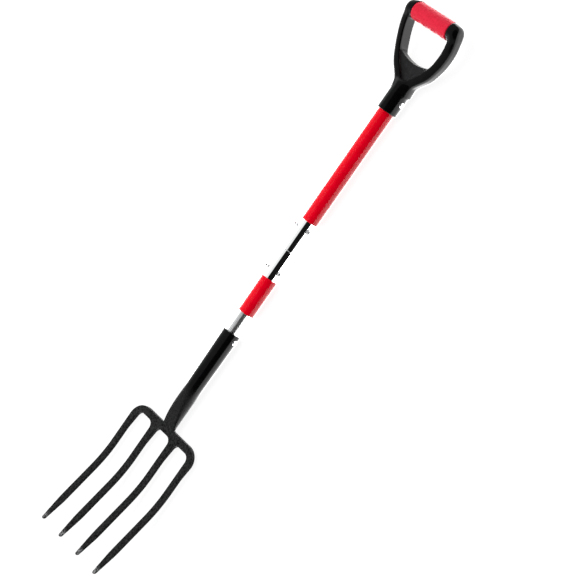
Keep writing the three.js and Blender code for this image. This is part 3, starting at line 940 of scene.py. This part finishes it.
# ------------------------------------------------------------------ fasteners
FASTENER_SIDES = 64
CENTRE_R = 0.02  # the middle of a flat end, where rings can't close to a point
BOLT_R = 3.0
BOLT_HEAD_H = 4.0
HEAD_RIM = 0.6  # height of the straight rim under the dome
HEAD_OVERLAP = 0.2  # the threaded rod starts this far inside the head
KEY_R = 2.0
KEY_DEPTH = 2.0
KEY_EDGE = 0.25
SEAT_EDGE = (0.15, 0.2)  # height and width of the small bevel at the head's seat
THREAD_PITCH = 1.0
THREAD_DEPTH = 0.45
THREAD_TAPER = 0.81
THREAD_ROWS = 8  # rows of points in one turn
WASHER_EDGE = 0.35
NUT_HOLE_GAP = 0.05
NUT_FACE = 0.96  # the round end face of a nut, as a part of the distance across its flats
NUT_CHAMFER = 0.6
RIVET_R = 2.5
RIVET_HEAD_H = 3.2
RIVET_SINK = 0.6  # the round part falls away under a head, so its rim reaches down this far


def hexagon(radius):
    """Radius of a hexagon's edge at an angle, for a given corner radius."""
    def edge(angle):
        return radius * math.cos(math.pi / 6) / math.cos((angle % (math.pi / 3)) - math.pi / 6)
    return edge


def hex_nut(y0, y1, corner_r, hole_r):
    """A hexagon nut along y, with a plain hole and a turned chamfer on both ends."""
    edge = hexagon(corner_r)
    face_r = NUT_FACE * corner_r * math.cos(math.pi / 6)

    def drop(angle):
        return NUT_CHAMFER * max(0.0, edge(angle) - face_r)

    return stacked([
        (y0, hole_r), (y0, face_r), (lambda angle: y0 + drop(angle), edge),
        (lambda angle: y1 - drop(angle), edge), (y1, face_r), (y1, hole_r)], closed=True)


def thread(y0, y1):
    """A threaded rod along y that tapers over the last millimetre before y1."""
    def radius_at(y):
        taper = THREAD_TAPER * max(0.0, 1 - (y1 - y))

        def radius(angle):
            phase = (y / THREAD_PITCH + angle / (2 * math.pi)) % 1
            return BOLT_R - THREAD_DEPTH * abs(2 * phase - 1) - taper
        return radius

    count = int((y1 - y0) / THREAD_PITCH * THREAD_ROWS)
    heights = [y0 + (y1 - y0) * i / count for i in range(count + 1)]
    return stacked([(y, radius_at(y)) for y in heights], sides=48)


def dome_head(y0, y1, radius):
    """A dome head from its crown at y0 to its seat at y1, with a hexagon key socket."""
    key = hexagon(KEY_R)
    rows = [(y0 + KEY_DEPTH, CENTRE_R), (y0 + KEY_DEPTH, key), (y0 + KEY_EDGE, key),
            (y0, KEY_R + KEY_EDGE)]
    dome_h = y1 - y0 - HEAD_RIM
    for angle in np.radians(range(66, -1, -6)):
        rows.append((y1 - HEAD_RIM - dome_h * math.sin(angle), radius * math.cos(angle)))
    bevel_h, bevel_w = SEAT_EDGE
    return stacked(rows + [(y1 - bevel_h, radius), (y1, radius - bevel_w), (y1, CENTRE_R)])


def make_bolt_set(which):
    """The lower or the upper bolt of the joint, with its two washers and its nut."""
    bolt_low, bolt_high = span(which + "_joint_bolt")
    here = np.array(((bolt_low.x + bolt_high.x) / 2, 0, 0))
    seat = bolt_low.y + BOLT_HEAD_H
    bolt = joined(
        dome_head(bolt_low.y, seat, (bolt_high.z - bolt_low.z) / 2),
        thread(seat - HEAD_OVERLAP, bolt_high.y))
    make_piece(which + "_dome_bolt", *moved(bolt, here), fastener_look, which + "_joint_bolt",
               "fastener_steel")
    for side in ("head", "nut"):
        low, high = span(f"{which}_{side}_washer")
        outer, inner = (high.z - low.z) / 2, BOLT_R + GAP
        rim = rounded([
            (low.y, outer - 1), (low.y, outer), (high.y, outer), (high.y, inner), (low.y, inner),
            (low.y, outer - 1)], WASHER_EDGE)
        washer = turned(rim, FASTENER_SIDES, "y")
        make_piece(f"{which}_{side}_side_washer", *moved(washer, here), fastener_look,
                   f"{which}_{side}_washer", "fastener_steel")
    low, high = span(which + "_joint_nut")
    nut = hex_nut(low.y, high.y, (high.z - low.z) / 2, BOLT_R + NUT_HOLE_GAP)
    make_piece(which + "_hex_nut", *moved(nut, here), fastener_look, which + "_joint_nut",
               "fastener_steel")


def make_rivet(node, name):
    """A rivet with a dome head on each side of the round part that it goes through."""
    low, high = span(node)
    rim = (high.z - low.z) / 2
    seat = high.y - RIVET_HEAD_H
    dome = [(seat - RIVET_SINK, rim - 0.3), (seat + 0.2, rim)]
    for angle in np.radians(range(8, 90, 9)):
        dome.append((seat + RIVET_HEAD_H * math.sin(angle), rim * math.cos(angle)))
    dome.append((high.y, 0))
    lower = [(-s, r) for s, r in reversed(dome)]
    shank = [(-seat + RIVET_SINK, RIVET_R), (seat - RIVET_SINK, RIVET_R)]
    rivet = turned(lower + shank + dome, FASTENER_SIDES, "y")
    make_piece(name, *moved(rivet, np.array(((low.x + high.x) / 2, 0, 0))), fastener_look, node,
               "fastener_steel")


for which in ("lower", "upper"):
    make_bolt_set(which)
make_rivet("socket_rivet", "socket_dome_rivet")
make_rivet("handle_rivet", "handle_dome_rivet")


# ------------------------------------------------------------------ stage
STAGE_REACH = 12.0
FLOOR_GLOW = 0.9
BOUNCE_GLOW = 8.0
BOUNCE_Z = -0.002
FLAG_R = 9.0
FLAG_HEIGHT = 1.5
FLAG_SIDES = 96


def square(z):
    """The corners of a wide square at height z."""
    reach = STAGE_REACH
    return [(-reach, -reach, z), (reach, -reach, z), (reach, reach, z), (-reach, reach, z)]


def stage_object(name, points, faces, look):
    """An object around the tool that isn't part of it."""
    mesh = bpy.data.meshes.new(name)
    mesh.from_pydata(points, [], faces)
    mesh.materials.append(look)
    thing = bpy.data.objects.new(name, mesh)
    bpy.context.scene.collection.objects.link(thing)
    thing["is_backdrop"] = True
    return thing


def reflection_aid(name, points, faces, glow):
    """A plain object, black or glowing white, that shows in reflections and nowhere else."""
    look = bpy.data.materials.new(name)
    look.use_nodes = True
    shader = look.node_tree.nodes["Principled BSDF"]
    shader.inputs["Base Color"].default_value = (0, 0, 0, 1)
    shader.inputs["Specular IOR Level"].default_value = 0
    shader.inputs["Emission Color"].default_value = (1, 1, 1, 1)
    shader.inputs["Emission Strength"].default_value = glow
    aid = stage_object(name, points, faces, look)
    aid.visible_camera = False
    aid.visible_diffuse = False
    aid.visible_shadow = False


def make_floor():
    """A pale floor that glows a little, so that it stays even and light."""
    look = bpy.data.materials.new("pale_floor")
    look.use_nodes = True
    shader = look.node_tree.nodes["Principled BSDF"]
    shader.inputs["Roughness"].default_value = 0.9
    shader.inputs["Specular IOR Level"].default_value = 0.1
    tone = ramp(
        look.node_tree.nodes, NOISE_LOW, NOISE_HIGH, (0.12, 0.12, 0.12), (0.13, 0.13, 0.13))
    look.node_tree.links.new(noise(look.node_tree, 400, 2), tone.inputs["Fac"])
    look.node_tree.links.new(tone.outputs["Color"], shader.inputs["Base Color"])
    shader.inputs["Emission Color"].default_value = (1, 1, 1, 1)
    shader.inputs["Emission Strength"].default_value = FLOOR_GLOW
    floor = stage_object("floor", square(0), [(0, 1, 2, 3)], look)
    floor.visible_glossy = False


def make_flag():
    """A low black screen all round that gives the chrome its dark lines."""
    turns = [2 * math.pi * i / FLAG_SIDES for i in range(FLAG_SIDES)]
    points = [(FLAG_R * math.cos(turn), FLAG_R * math.sin(turn), z)
              for z in (0, FLAG_HEIGHT) for turn in turns]
    faces = []
    for i in range(FLAG_SIDES):
        j = (i + 1) % FLAG_SIDES
        faces.append((i, j, FLAG_SIDES + j, FLAG_SIDES + i))
    reflection_aid("black_flag", points, faces, 0)


make_floor()
# A bright sheet just under the floor gives the dark pieces their light rims.
reflection_aid("bounce_sheet", square(BOUNCE_Z), [(0, 1, 2, 3)], BOUNCE_GLOW)
make_flag()

low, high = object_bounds()
